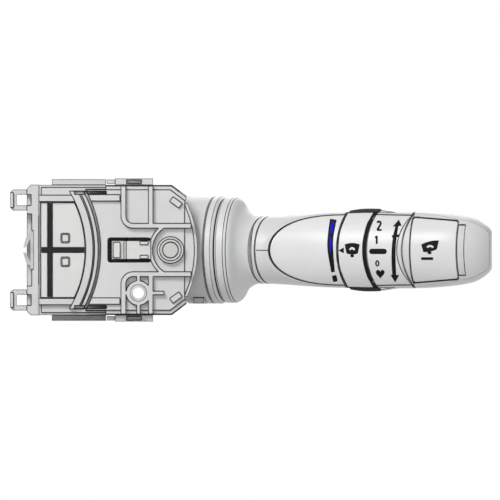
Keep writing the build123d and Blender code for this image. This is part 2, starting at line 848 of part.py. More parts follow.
def stem_rear_shell():
    part = seam_side(neck_end + seam_gap) - past(ring_start_edge, -part_gap)
    shell = (stem_shell & pipe_seat & part) + (stem_lip & part)
    return shell - screw_bore_lever(screw_u[0])


def stem_front_panel():
    return (panel_body & seam_side(neck_end + seam_gap)) - past(ring_start_edge, -part_gap)


flange_thick = 2.0
track_thick = 0.5
flange_end = ring_core - part_gap - track_thick
bulkhead_start = 80.4
bulkhead_thick = 2.8
wiper_thick = 0.4
wiper_recess = 1.2
screw_u = [flange_end - flange_thick / 2, bulkhead_start + bulkhead_thick / 2]


def screw_bore_lever(u):
    shank = Pos(u, 11.5, 0) * Rot(90, 0, 0) * Cylinder(0.7, 8)
    head = Pos(u, 14.5, 0) * Rot(90, 0, 0) * Cylinder(1.2, 4)
    return shank + head


def ring_journal():
    bore = journal_radius - journal_wall
    tube = rod(journal_radius, flange_end - flange_thick, bulkhead_start + 8)
    flange = rod(20, flange_end - flange_thick, flange_end) & stem_body(shell_wall + fit_gap)
    tube += flange & front_pipe(panel_wall + fit_gap * 2)
    tube -= rod(bore, 50, 100)
    for u in screw_u:
        tube -= screw_bore_lever(u)
    return tube


def ring_track():
    disc = rod(12.0, flange_end, flange_end + track_thick) & front_pipe(panel_wall + fit_gap * 2)
    return disc - rod(journal_radius + fit_gap, 60, 70)


def crown(points):
    edge = Spline(*[(u, r, 0) for u, r in points])
    first = points[0]
    last = points[-1]
    rest = Polyline((last[0], last[1], 0), (last[0], 0, 0), (first[0], 0, 0), (first[0], first[1], 0))
    return revolve(make_face([edge, rest]), Axis.X, 360)


def behind_front():
    return lever_box(arm_end, tip_end, -grip_back, through, -through, through)


ring_solid = crown(crown_profile) & past(ring_start_edge, 0) - past(ring_end_edge, 0)
ring_bore = rod(journal_radius + running_gap, ring_core - 5, bulkhead_start + 5)
grip_inner = crown_profile[0][1] - grip_depth
grip_core = rod(grip_inner, ring_core - 5, bulkhead_start + 5)


def interval_ring():
    body = ring_solid & pipe_outer
    ring = (body & grip_core) + (body - behind_front())
    ring -= ring_bore
    recess = rod(12.2, ring_core - 1, ring_core + wiper_recess) & behind_front()
    return ring - recess


def ring_grip():
    outer = crown_profile[-2][1]
    teeth = Circle(outer)
    notch_radius = tooth_depth * 1.3
    for i in range(grip_teeth):
        notch = Pos(outer + notch_radius - tooth_depth, 0) * Circle(notch_radius)
        teeth -= Rot(0, 0, 360 / grip_teeth * i) * notch
    bar = Pos(ring_core, 0, 0) * Rot(0, 90, 0) * extrude(teeth, bulkhead_start + 5 - ring_core)
    return (bar & ring_solid & behind_front()) - grip_core


def ring_wiper():
    low = flange_end + track_thick + 0.15
    back = ring_core + wiper_recess
    plate_ring = rod(11.6, back - wiper_thick, back) - rod(journal_radius + 0.5, back - 1, back + 1)
    plate_ring -= lever_box(arm_end, tip_end, -through, -grip_back + part_gap, -through, through)
    for z in (-1.4, 1.4):
        plate_ring += lever_box(low, back - wiper_thick, 9.9, 11.2, z - 0.4, z + 0.4)
    return plate_ring


cap_lobe = front_arc(cap_arc_start, cap_arc_radius) - behind_front() - span(sleeve_end + fit_gap, 2 * tip_end)
lobe_room = front_arc(cap_arc_start - fit_gap, cap_arc_radius + fit_gap / 2) - behind_front()
journal_room = rod(journal_radius, arm_end, tip_end)


def mid_sleeve():
    part = span(arm_end, sleeve_end) & past(ring_end_edge, part_gap)
    rear = (crown(shoulder_profile) & behind_front() & part) - stem_inner - panel_room
    sleeve = rear + ((stem_shell & pipe_seat) + stem_lip & part) - lobe_room
    bulkhead = stem_body(shell_wall / 2) & pipe_seat
    bulkhead = bulkhead & span(bulkhead_start, bulkhead_start + bulkhead_thick)
    return sleeve + bulkhead - journal_room - screw_bore_lever(screw_u[1])


def position_panel():
    panel = panel_body & span(arm_end, sleeve_end) & past(ring_end_edge, part_gap)
    return panel - lobe_room - journal_room


def pad_box(grow, back):
    # The pad's outline, wider at the ring's side, carried through the lever's front to a place behind it
    corners = [(pad_start - grow, pad_half_start + grow), (pad_end + grow, pad_half_end + grow)]
    corners += [(u, -z) for u, z in reversed(corners)]
    outline = Plane((0, -through, 0), x_dir=(1, 0, 0), z_dir=(0, -1, 0)) * Polygon(*corners, align=None)
    outline = fillet(outline.vertices(), pad_corner)
    return extrude(outline, through - back, dir=(0, 1, 0))


def end_cap():
    part = span(sleeve_end + fit_gap, tip_end + 1) + cap_lobe
    cap = (stem_outer & pipe_outer & part) - (stem_inner & pipe_inner)
    floor_pipe = front_pipe(scoop_drop)
    scoop = (front_arc(scoop_arc_start, scoop_arc_radius) & span(arm_end, pad_start)) - floor_pipe
    step = lever_box(pad_end, step_end, -through, 0, -step_half, step_half) - floor_pipe
    return cap - scoop - step - pad_box(pad_gap, pad_room)


def wash_button():
    return (front_pipe(pad_drop) - front_pipe(pad_drop + pad_thick)) & pad_box(0, pad_back)


pad_centre = (pad_start + pad_end) / 2


def button_post():
    back = lever_board_back - dome_height - fit_gap
    bar = Pos(pad_centre, (back - 12) / 2, 0) * Rot(90, 0, 0) * Cylinder(2.0, back + 12)
    wings = lever_box(pad_centre - 6, pad_centre + 6, -12, -6.4, -0.6, 0.6)
    return (bar + wings) & front_pipe(pad_drop + pad_thick)


def button_dome():
    top = 2.4
    outer = Cone(dome_radius, top, dome_height)
    inner = Pos(0, 0, -0.4) * Cone(dome_radius - 0.8, top - 0.8, dome_height - 0.8)
    return Pos(pad_centre, lever_board_back - dome_height / 2, 0) * Rot(90, 0, 0) * (outer - inner)


def lever_board():
    back = lever_board_back + lever_board_thick
    return lever_box(arm_end + part_gap, pad_end - 2, lever_board_back, back,
                     -lever_board_half, lever_board_half)


def shell_screws():
    screws = []
    for u in screw_u:
        shank = Pos(u, 10.6, 0) * Rot(90, 0, 0) * Cylinder(0.65, 5.8)
        head = Pos(u, 12.9, 0) * Rot(90, 0, 0) * Cylinder(1.1, 0.8)
        screws.append(shank + head)
    return Compound(screws)


# Write every piece

write(rear_case(), "rear_case")
write(front_cover(), "front_cover")
write(terminal_cover(), "terminal_cover")
write(cover_seal(), "cover_seal")
write(connector_housing(), "connector_housing")
write(Compound(socket_pins()), "connector_pins")
write(locking_hooks(), "locking_hooks")
write(retention_spring(), "retention_spring")
write(circuit_board(), "circuit_board")
write(fixed_contacts(), "fixed_contacts")
write(slider_guide(), "slider_guide")
write(detent_cam(), "detent_cam")
write(case_screws(), "case_screws")
write(pivot_bushes(), "pivot_bushes")
write(mounting_sleeve(), "mounting_sleeve")
write(latch_tongue(), "latch_tongue")
write(contact_slider(), "contact_slider")
write(slider_contacts(), "slider_contacts")
write(swing_carrier(), "swing_carrier")
write(pull_pin(), "pull_pin")
write(return_spring(), "return_spring")
placed(lever_arm(), "lever_arm")
placed(detent_plunger(), "detent_plunger")
placed(detent_spring(), "detent_spring")
placed(drum(), "drum")
placed(bell_shroud(), "bell_shroud")
placed(neck_ring(), "neck_ring")
placed(stem_rear_shell(), "stem_rear_shell")
placed(stem_front_panel(), "stem_front_panel")
placed(ring_journal(), "ring_journal")
placed(ring_track(), "ring_track")
placed(interval_ring(), "interval_ring")
placed(ring_grip(), "ring_grip")
placed(ring_wiper(), "ring_wiper")
placed(mid_sleeve(), "mid_sleeve")
placed(position_panel(), "position_panel")
placed(end_cap(), "end_cap")
placed(wash_button(), "wash_button")
placed(button_post(), "button_post")
placed(button_dome(), "button_dome")
placed(lever_board(), "lever_board")
placed(shell_screws(), "shell_screws")
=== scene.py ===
import bmesh
import bpy
import math
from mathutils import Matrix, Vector
from mathutils.bvhtree import BVHTree


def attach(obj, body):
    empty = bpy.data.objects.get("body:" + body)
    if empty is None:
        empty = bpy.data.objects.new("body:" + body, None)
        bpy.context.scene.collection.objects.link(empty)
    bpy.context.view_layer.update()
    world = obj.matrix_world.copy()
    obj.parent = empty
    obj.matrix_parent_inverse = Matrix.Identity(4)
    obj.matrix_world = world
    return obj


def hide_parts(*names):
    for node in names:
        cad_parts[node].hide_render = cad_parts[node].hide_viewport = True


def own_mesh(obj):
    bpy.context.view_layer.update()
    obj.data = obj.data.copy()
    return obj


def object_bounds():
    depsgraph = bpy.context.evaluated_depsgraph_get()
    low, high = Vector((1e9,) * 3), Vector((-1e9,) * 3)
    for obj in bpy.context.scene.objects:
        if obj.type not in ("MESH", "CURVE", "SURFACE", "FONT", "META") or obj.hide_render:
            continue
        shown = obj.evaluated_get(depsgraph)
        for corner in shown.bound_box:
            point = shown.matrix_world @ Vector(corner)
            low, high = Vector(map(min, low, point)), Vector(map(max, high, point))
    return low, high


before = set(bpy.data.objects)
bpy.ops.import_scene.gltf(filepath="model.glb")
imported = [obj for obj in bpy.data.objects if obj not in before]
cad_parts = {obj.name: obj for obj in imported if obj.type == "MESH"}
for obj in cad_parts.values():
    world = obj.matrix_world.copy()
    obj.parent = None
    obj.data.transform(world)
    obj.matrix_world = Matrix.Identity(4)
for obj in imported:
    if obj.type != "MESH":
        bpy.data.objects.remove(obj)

cad_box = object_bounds()

# Studio
# The switch floats just over a pale floor, under a soft key lamp above the driver's left shoulder and two
# weaker lamps. The camera looks square on at the driver's side, without perspective, as a drawing does.

scene = bpy.context.scene
scene.view_settings.view_transform = "Standard"

PICTURE_WIDTH = 0.186
PICTURE_CENTRE_X = 0.0296
CAMERA_LEVEL = -0.8
LAMP_AIM = Vector((PICTURE_CENTRE_X, -0.02, 0))
camera_data = bpy.data.cameras.new("camera")
camera_data.type = "ORTHO"
camera_data.ortho_scale = PICTURE_WIDTH
camera = bpy.data.objects.new("camera", camera_data)
camera.location = (PICTURE_CENTRE_X, CAMERA_LEVEL, 0)
camera.rotation_euler = (math.radians(90), 0, 0)
scene.collection.objects.link(camera)
scene.camera = camera


def lamp(name, place, size, power):
    """A round soft lamp, in metres and watts, that points at the middle of the switch."""
    data = bpy.data.lights.new(name, "AREA")
    data.shape = "DISK"
    data.size = size
    data.energy = power
    light = bpy.data.objects.new(name, data)
    light.location = place
    light.rotation_euler = (LAMP_AIM - Vector(place)).to_track_quat("-Z", "Y").to_euler()
    scene.collection.objects.link(light)


lamp("key", (-0.35, -0.65, 0.5), 0.35, 4.9)
lamp("fill", (0.75, -0.55, 0.05), 0.6, 1.1)
lamp("back", (0.1, 0.8, 0.4), 0.6, 1.8)


class Shade:
    """A socket in one material's nodes. Sums of shades are written as Python sums, shade first."""

    def __init__(self, tree, socket=None):
        self.tree = tree
        self.socket = socket

    def node(self, kind, settings=None, output=0, **inputs):
        """Adds a node: its settings first, then the values or links of its sockets, by name or as n0, n1."""
        made = self.tree.nodes.new("ShaderNode" + kind)
        for name, value in (settings or {}).items():
            setattr(made, name, value)
        for name, value in inputs.items():
            key = int(name[1:]) if name[0] == "n" and name[1:].isdigit() else name.replace("_", " ")
            if isinstance(value, Shade):
                self.tree.links.new(value.socket, made.inputs[key])
            else:
                made.inputs[key].default_value = value
        return Shade(self.tree, made.outputs[output])

    def sum(self, operation, first, second):
        """The result of one of Blender's sums on two shades or numbers."""
        return self.node("Math", {"operation": operation}, n0=first, n1=second)

    def __add__(self, other):
        return self.sum("ADD", self, other)

    def __mul__(self, other):
        return self.sum("MULTIPLY", self, other)

    def __sub__(self, other):
        return self.sum("SUBTRACT", self, other)

    def __rsub__(self, other):
        return self.sum("SUBTRACT", other, self)

    def step(self, low, high):
        """0 below low, 1 above high, and a smooth rise between."""
        settings = {"interpolation_type": "SMOOTHSTEP"}
        return self.node("MapRange", settings, Value=self, From_Min=low, From_Max=high)

    def mix(self, first, second):
        """The first colour where this mask is 0, the second where it is 1."""
        return self.node("Mix", {"data_type": "RGBA"}, 2, n0=self, n6=first, n7=second)

    def feed(self, shader, name):
        """Links this shade to a named socket of a node."""
        self.tree.links.new(self.socket, shader.inputs[name])


def seen_straight(start):
    """1 for what is seen directly, in a mirror or through glass, and 0 for what lights the object."""
    mirror = start.node("LightPath", output="Is Glossy Ray")
    glass = start.node("LightPath", output="Is Transmission Ray")
    reflected = start.sum("MAXIMUM", mirror, glass)
    return start.sum("MAXIMUM", start.node("LightPath"), reflected)


FLOOR_DROP = 0.004
FLOOR_REACH = 3.0
FLOOR_WHITE = 0.75
FLOOR_GREY = (0.8, 0.8, 0.8, 1)
WHITE = (1, 1, 1, 1)
floor_paint = bpy.data.materials.new("floor_paint")
floor_paint.use_nodes = True
start = Shade(floor_paint.node_tree)
paper = start.node("Emission", Color=WHITE, Strength=1.0)
matte = start.node("BsdfDiffuse", Color=FLOOR_GREY)
mixed = start.node("MixShader", n0=seen_straight(start) * FLOOR_WHITE, n1=matte, n2=paper)
mixed.feed(floor_paint.node_tree.nodes["Material Output"], "Surface")

floor_z = cad_box[0][2] - FLOOR_DROP
corners = [(x * FLOOR_REACH, y * FLOOR_REACH, floor_z) for x, y in ((-1, -1), (1, -1), (1, 1), (-1, 1))]
floor_mesh = bpy.data.meshes.new("floor")
floor_mesh.from_pydata(corners, [], [(0, 1, 2, 3)])
floor_mesh.materials.append(floor_paint)
floor = bpy.data.objects.new("floor", floor_mesh)
scene.collection.objects.link(floor)

WORLD_LIGHT = 0.3
world = bpy.data.worlds.new("world")
world.use_nodes = True
scene.world = world
background = world.node_tree.nodes["Background"]
background.inputs["Color"].default_value = WHITE
(seen_straight(Shade(world.node_tree)) * (1 - WORLD_LIGHT) + WORLD_LIGHT).feed(background, "Strength")

# Housing
# The rear case and front cover are moulded in pale glass-filled plastic with a fine eroded skin.
# Every moulded edge is drawn by a thin dark line of painted shade in the plastic's colour.

# The colour below is painted shade: near black, drawn into the plastic along its edges and in bands where
# shadow would be.
PAINTED_EDGE_SHADE = (0.008, 0.008, 0.009, 1)
PAINTED_EDGE_SHADE_WIDTH = 0.0005
EDGE_THRESHOLD = 0.003
EDGE_FADE = 0.019


def material(name, roughness, metallic=0.0, coat=0.0, specular=0.5):
    """A new material with what is the same all over it, its shader, and a start for its other nodes."""
    made = bpy.data.materials.new(name)
    made.use_nodes = True
    shader = made.node_tree.nodes["Principled BSDF"]
    shader.inputs["Roughness"].default_value = roughness
    shader.inputs["Metallic"].default_value = metallic
    shader.inputs["Coat Weight"].default_value = coat
    shader.inputs["Specular IOR Level"].default_value = specular
    start = Shade(made.node_tree)
    return made, shader, start, start.node("TexCoord", output="Object")


def shaded(colour, share):
    """A colour made darker, with its alpha."""
    return (colour[0] * share, colour[1] * share, colour[2] * share, 1)


def edges(start, width, threshold=EDGE_THRESHOLD):
    """The softened normal near edges, and a mask of where it turns away from the face's own normal."""
    soft = start.node("Bevel", {"samples": 8}, Radius=width)
    plain = start.node("NewGeometry", output="Normal")
    likeness = start.node("VectorMath", {"operation": "DOT_PRODUCT"}, "Value", n0=soft, n1=plain)
    return soft, (1 - likeness).step(threshold, threshold + EDGE_FADE)


# The lever leans towards the driver. ALONG is its axis, and BEHIND points square to it, away from the driver.
LEAN = math.radians(14)
AXIS_LEVEL = -0.022
ALONG = Vector((math.cos(LEAN), -math.sin(LEAN), 0))
BEHIND = Vector((math.sin(LEAN), math.cos(LEAN), 0))
AXIS_PLACE = Vector((0, AXIS_LEVEL, 0))

FLOW_SHADE = 0.95
FLOW_ROUGHNESS = 0.12
SPECK_SHADE = 0.88
SPECK_SHOW = 0.35


def moulded(name, colour, roughness, grain, depth, shade_width=PAINTED_EDGE_SHADE_WIDTH, threshold=EDGE_THRESHOLD,
            shade_bands=()):
    """Moulded plastic: an eroded grain, faint flow clouds, specks of regrind and dark lines of painted shade
    at its edges.
    Bands of painted shade can run round the lever, each given as its distance along the axis and half its
    width."""
    made, shader, start, place = material(name, roughness, specular=0.35)
    cells = start.node("TexVoronoi", Vector=place, Scale=1 / grain)
    cloud = start.node("TexNoise", Vector=place, Scale=45.0, Detail=4.0, Roughness=0.6)
    speck = start.node("TexNoise", Vector=place, Scale=900.0, Detail=2.0)
    soft, edge = edges(start, shade_width, threshold)
    for distance, half in shade_bands:
        along = start.node("VectorMath", {"operation": "DOT_PRODUCT"}, "Value", n0=place, n1=ALONG)
        aside = start.node("Math", {"operation": "ABSOLUTE"}, n0=along - (distance + ALONG.dot(AXIS_PLACE)))
        edge = start.sum("MAXIMUM", edge, 1 - aside.step(half * 0.5, half))
    tone = cloud.step(0.3, 0.7).mix(shaded(colour, FLOW_SHADE), shaded(colour, 1))
    tone = (speck.step(0.62, 0.75) * SPECK_SHOW).mix(tone, shaded(colour, SPECK_SHADE))
    # Painted shade: near black is mixed into the colour along the edges and in the bands round the lever.
    edge.mix(tone, PAINTED_EDGE_SHADE).feed(shader, "Base Color")
    (cloud.step(0.2, 0.8) * FLOW_ROUGHNESS + (roughness - FLOW_ROUGHNESS / 2)).feed(shader, "Roughness")
    bump = start.node("Bump", Strength=0.35, Distance=depth, Height=cells, Normal=soft)
    bump.feed(shader, "Normal")
    return made


def finish_nodes(made, *names):
    """Gives each of the named CAD nodes a material."""
    for name in names:
        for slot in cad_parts[name].material_slots:
            slot.material = made


housing_plastic = moulded("housing_plastic", (0.68, 0.685, 0.68), 0.52, 0.00022, 0.00001)
finish_nodes(housing_plastic, "rear_case", "front_cover")

# Moulding marks
# Ejector pins leave round witness marks on the rear case, where they pushed it out of its mould.
# Each is a thin disc of the same plastic, of which half stands proud of its pocket.

MARK_RADIUS = 0.0019
MARK_THICKNESS = 0.00016
POCKET_FLOOR = -0.0006
MARK_PLACES = [(-0.0345, 0.0045), (-0.0345, 0.0175), (-0.0235, 0.0110), (-0.0345, -0.0045),
               (-0.0345, -0.0175), (-0.0235, -0.0110), (-0.0436, -0.0100), (-0.0436, 0.0100)]


class Growth:
    """A geometry tree with named inputs, which turns a base mesh into its repeated pieces."""

    def __init__(self, name, sizes):
        self.tree = bpy.data.node_groups.new(name, "GeometryNodeTree")
        face = self.tree.interface
        face.new_socket("Geometry", in_out="INPUT", socket_type="NodeSocketGeometry")
        face.new_socket("Geometry", in_out="OUTPUT", socket_type="NodeSocketGeometry")
        for size in sizes:
            face.new_socket(size, in_out="INPUT", socket_type="NodeSocketFloat")
        face.new_socket("Material", in_out="INPUT", socket_type="NodeSocketMaterial")
        self.source = self.tree.nodes.new("NodeGroupInput")
        self.sink = self.tree.nodes.new("NodeGroupOutput")

    def node(self, kind, settings=None, **inputs):
        """Adds a node: its settings first, then the values or links of its named sockets."""
        made = self.tree.nodes.new(kind)
        for name, value in (settings or {}).items():
            setattr(made, name, value)
        for name, value in inputs.items():
            target = made.inputs[name.replace("_", " ")]
            if isinstance(value, bpy.types.NodeSocket):
                self.tree.links.new(value, target)
            else:
                target.default_value = value
        return made.outputs[0]

    def size(self, name):
        """One of the tree's inputs, by name."""
        return self.source.outputs[name]

    def close(self, geometry):
        """Ends the tree: real geometry with its material."""
        real = self.node("GeometryNodeRealizeInstances", Geometry=geometry)
        done = self.node("GeometryNodeSetMaterial", Geometry=real, Material=self.size("Material"))
        self.tree.links.new(done, self.sink.inputs[0])

    def grow(self, name, base, values):
        """Runs the tree on a base mesh with the given inputs, and gives back a plain piece."""
        holder = bpy.data.objects.new(name + "_base", base)
        scene.collection.objects.link(holder)
        modifier = holder.modifiers.new("growth", "NODES")
        modifier.node_group = self.tree
        for item in self.tree.interface.items_tree:
            if item.in_out == "INPUT" and item.name in values:
                modifier[item.identifier] = values[item.name]
        ready = holder.evaluated_get(bpy.context.evaluated_depsgraph_get())
        mesh = bpy.data.meshes.new_from_object(ready)
        mesh.name = name
        bpy.data.objects.remove(holder)
        piece = bpy.data.objects.new(name, mesh)
        scene.collection.objects.link(piece)
        return piece


marks = Growth("mould_marks", ["Radius", "Thickness"])
disc = marks.node("GeometryNodeMeshCylinder", Vertices=40, Radius=marks.size("Radius"),
                  Depth=marks.size("Thickness"))
points = marks.node("GeometryNodeInstanceOnPoints", Points=marks.size("Geometry"), Instance=disc,
                    Rotation=(math.radians(90), 0, 0))
marks.close(points)

base = bpy.data.meshes.new("mark_places")
base.from_pydata([(x, POCKET_FLOOR, z) for x, z in MARK_PLACES], [], [])
mould_marks = marks.grow("mould_marks", base, {"Radius": MARK_RADIUS, "Thickness": MARK_THICKNESS,
                                               "Material": housing_plastic})
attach(mould_marks, "housing")

# Terminal covers and their seal
# Two smooth pale covers close the terminal space that faces the column, with square release marks.
# A black rubber seal in a cross-shaped groove keeps dust out between them.

cover_plastic = moulded("cover_plastic", (0.74, 0.74, 0.725), 0.42, 0.00018, 0.000004)
finish_nodes(cover_plastic, "terminal_cover", "latch_tongue")

RUBBED_WIDTH = 0.0002
PEEL_DEPTH = 0.00001


def rubbery(name, colour, roughness, bloom_lift):
    """Elastomer: dull, with a faint bloom in clouds, an orange peel skin and paler rubbed edges."""
    made, shader, start, place = material(name, roughness, specular=0.25)
    bloom = start.node("TexNoise", Vector=place, Scale=160.0, Detail=5.0)
    peel = start.node("TexNoise", Vector=place, Scale=2600.0, Detail=2.0)
    soft, edge = edges(start, RUBBED_WIDTH)
    pale = (*[c * 1.6 + bloom_lift for c in colour], 1)
    rubbed = (*[c * 2.2 + bloom_lift * 3 for c in colour], 1)
    tone = bloom.step(0.35, 0.75).mix((*colour, 1), pale)
    (edge * 0.5).mix(tone, rubbed).feed(shader, "Base Color")
    (bloom * 0.2 + (roughness - 0.1)).feed(shader, "Roughness")
    start.node("Bump", Strength=0.3, Distance=PEEL_DEPTH, Height=peel, Normal=soft).feed(shader, "Normal")
    return made


finish_nodes(rubbery("seal_black", (0.006, 0.006, 0.0065), 0.6, 0.003), "cover_seal")

# Column connector
# The end plate and its socket are moulded like the housing, as are the two hooks that catch the column.
# Tin-plated pins stand in the socket, and a sprung steel clip takes up the play.

connector_plastic = moulded("connector_plastic", (0.66, 0.665, 0.66), 0.5, 0.0002, 0.000008)
finish_nodes(connector_plastic, "connector_housing", "locking_hooks")

DRAWN_OUT = (0.12, 1.0, 1.0)
SCRATCHES = 1500.0
SCRATCH_DEPTH = 0.000005
TARNISH = 0.78


def metal(name, colour, roughness):
    """Drawn or plated metal: fine lines along X, and a little tarnish in clouds."""
    made, shader, start, place = material(name, roughness, metallic=1.0)
    drawn = start.node("Mapping", Vector=place, Scale=DRAWN_OUT)
    lines = start.node("TexNoise", Vector=drawn, Scale=SCRATCHES, Detail=3.0)
    stain = start.node("TexNoise", Vector=place, Scale=220.0, Detail=4.0)
    tone = stain.step(0.35, 0.75).mix((*colour, 1), shaded(colour, TARNISH))
    tone.feed(shader, "Base Color")
    (lines * 0.25 + (roughness - 0.1)).feed(shader, "Roughness")
    start.node("Bump", Strength=0.2, Distance=SCRATCH_DEPTH, Height=lines).feed(shader, "Normal")
    return made


spring_steel = metal("spring_steel", (0.6, 0.61, 0.62), 0.3)
brass = metal("contact_brass", (0.80, 0.66, 0.36), 0.28)
finish_nodes(metal("tinned_pins", (0.70, 0.69, 0.66), 0.3), "connector_pins")
finish_nodes(spring_steel, "retention_spring")

# Inside the housing
# A green board with copper under its varnish carries the contacts that the lever's slider bridges.
# Guide, comb and slider are moulded in natural acetal, which is smoother than the case.

VARNISH = (0.012, 0.10, 0.045, 1)
VARNISHED_COPPER = (0.03, 0.17, 0.075, 1)
COPPER_HEIGHT = 0.00003
board_green, shader, start, place = material("board_green", 0.35, coat=0.3)
copper = start.node("TexBrick", output="Fac", Vector=place, Scale=180.0, Mortar_Size=0.03)
copper.mix(VARNISH, VARNISHED_COPPER).feed(shader, "Base Color")
start.node("Bump", Strength=0.3, Distance=COPPER_HEIGHT, Height=copper).feed(shader, "Normal")
finish_nodes(board_green, "circuit_board", "lever_board")
finish_nodes(brass, "fixed_contacts", "slider_contacts", "ring_wiper")

acetal = moulded("acetal", (0.62, 0.62, 0.60), 0.38, 0.00012, 0.000003)
finish_nodes(acetal, "slider_guide", "detent_cam", "contact_slider", "detent_plunger", "button_post")

# Swing pivot and fixings
# The carrier's trunnions turn in acetal bushes, and the lever is pulled about an upright steel pin. Steel too
# are the sleeve in the mounting hole, the screws that close the case from behind, and the springs. The one
# behind the detent plunger shortens as the plunger is pressed in; its piece here keeps one shape.


def springy(name, node, body, made):
    """A soft node's shape as a separate piece of its own mesh, carried by a body, in place of the hidden
    node.
    """
    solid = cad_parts[node]
    mesh = solid.data.copy()
    mesh.transform(solid.matrix_world)
    mesh.materials.clear()
    mesh.materials.append(made)
    piece = bpy.data.objects.new(name, mesh)
    scene.collection.objects.link(piece)
    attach(piece, body)
    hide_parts(node)
    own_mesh(piece)


finish_nodes(acetal, "swing_carrier", "pivot_bushes", "lever_arm", "ring_journal")
finish_nodes(metal("pin_steel", (0.66, 0.66, 0.66), 0.28), "mounting_sleeve", "pull_pin")
finish_nodes(metal("screw_zinc", (0.55, 0.56, 0.58), 0.36), "case_screws", "shell_screws")
finish_nodes(spring_steel, "return_spring")
springy("plunger_coil", "detent_spring", "lever", spring_steel)

# Drum, bell and neck
# The drum fills the housing's mouth as the lever swings, and a bell narrows from it to the stem. All of it is
# satin plastic, finer in grain than the case, as are the stem's rear shell and the tip. The gap between drum
# and bell is darkened with painted shade, and two fine groove lines round the bell's rim are painted shade
# too, dark bands in the colour only.

SATIN = ((0.72, 0.725, 0.725), 0.4, 0.00016, 0.000006)
# Painted shade: the first band darkens the gap between drum and bell, the other two draw groove lines on the
# bell.
BELL_SHADE_BANDS = ((0.0212, 0.0004), (0.0247, 0.0002), (0.0258, 0.0002))
lever_plastic = moulded("lever_plastic", *SATIN)
finish_nodes(lever_plastic, "neck_ring", "stem_rear_shell", "mid_sleeve", "end_cap")
bell_plastic = moulded("bell_plastic", *SATIN, shade_bands=BELL_SHADE_BANDS)
finish_nodes(bell_plastic, "drum", "bell_shroud")

# Stem panel and its interval scale
# A smooth front panel is let into the stem, and pad printed with a curved scale, black with two blue fields.
# Ink is cut flat as seen from the front and laid on as a thin film. The rear shell's parting line is laid
# on the same way in black, as painted shade where the seam looks dark.

# The panel's edges get a narrower line of painted shade, only at its sharper creases.
PANEL_SHADE_WIDTH = 0.0003
PANEL_THRESHOLD = 0.012
panel_plastic = moulded("panel_plastic", (0.80, 0.805, 0.805), 0.34, 0.00012, 0.000003, PANEL_SHADE_WIDTH,
                        PANEL_THRESHOLD)
finish_nodes(panel_plastic, "stem_front_panel", "position_panel", "interval_ring", "wash_button")

MM = 0.001
DOT_DEPTH = 0.000005
INK_LIFT = 0.00004
INK_THICK = 0.00006
INK_STEP = 0.00035
INK_WELD = 0.000005
INK_ROUNDS = 6
IN_FRONT = -0.2
TO_SURFACE = 0.15
BACKWARD = Vector((0, 1, 0))


def ink(name, colour):
    """Dull ink with fine screen dots."""
    made, shader, start, place = material(name, 0.6, specular=0.1)
    dots = start.node("TexNoise", Vector=place, Scale=3500.0, Detail=2.0)
    dots.step(0.3, 0.7).mix((*colour, 1), (*[c * 1.4 + 0.003 for c in colour], 1)).feed(shader, "Base Color")
    start.node("Bump", Strength=0.2, Distance=DOT_DEPTH, Height=dots).feed(shader, "Normal")
    return made


black_ink = ink("black_ink", (0.005, 0.005, 0.006))
blue_ink = ink("blue_ink", (0.006, 0.009, 0.50))


def skin(*names):
    """The faces of some nodes as one search tree."""
    verts = []
    faces = []
    for name in names:
        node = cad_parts[name]
        count = len(verts)
        verts += [node.matrix_world @ vert.co for vert in node.data.vertices]
        faces += [[count + i for i in face.vertices] for face in node.data.polygons]
    return BVHTree.FromPolygons(verts, faces)


def lay_ink(name, outlines, carrier, body, made, layer=1):
    """Fills closed outlines, in millimetres as seen from the front, and lays them on a skin as a film of ink.
    A second layer lies over the first."""
    curve = bpy.data.curves.new(name, "CURVE")
    curve.dimensions = "2D"
    curve.fill_mode = "BOTH"
    for outline in outlines:
        spline = curve.splines.new("POLY")
        spline.points.add(len(outline) - 1)
        for point, (x, z) in zip(spline.points, outline):
            point.co = (x * MM, z * MM, 0, 1)
        spline.use_cyclic_u = True
    holder = bpy.data.objects.new(name, curve)
    scene.collection.objects.link(holder)
    flat = bpy.data.meshes.new_from_object(holder)
    bpy.data.objects.remove(holder)
    film = bmesh.new()
    film.from_mesh(flat)
    bmesh.ops.remove_doubles(film, verts=film.verts, dist=INK_WELD)
    for _ in range(INK_ROUNDS):
        coarse = [edge for edge in film.edges if edge.calc_length() > INK_STEP]
        if coarse:
            bmesh.ops.subdivide_edges(film, edges=coarse, cuts=1)
            bmesh.ops.triangulate(film, faces=film.faces)
    for vert in film.verts:
        place = Vector((vert.co.x, IN_FRONT, vert.co.y))
        hit, normal, _, _ = carrier.ray_cast(place, BACKWARD)
        if hit is None:
            hit, normal, _, _ = carrier.find_nearest(place + BACKWARD * TO_SURFACE)
        facing = -1 if normal.y > 0 else 1
        vert.co = hit + normal * facing * INK_LIFT * layer
    bmesh.ops.recalc_face_normals(film, faces=film.faces)
    if sum(face.normal.y for face in film.faces) > 0:
        bmesh.ops.reverse_faces(film, faces=film.faces)
    for face in film.faces:
        face.smooth = True
    mesh = bpy.data.meshes.new(name)
    film.to_mesh(mesh)
    film.free()
    mesh.materials.append(made)
    piece = bpy.data.objects.new(name, mesh)
    scene.collection.objects.link(piece)
    wall = piece.modifiers.new("wall", "SOLIDIFY")
    wall.thickness = INK_THICK
    wall.offset = -1
    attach(piece, body)


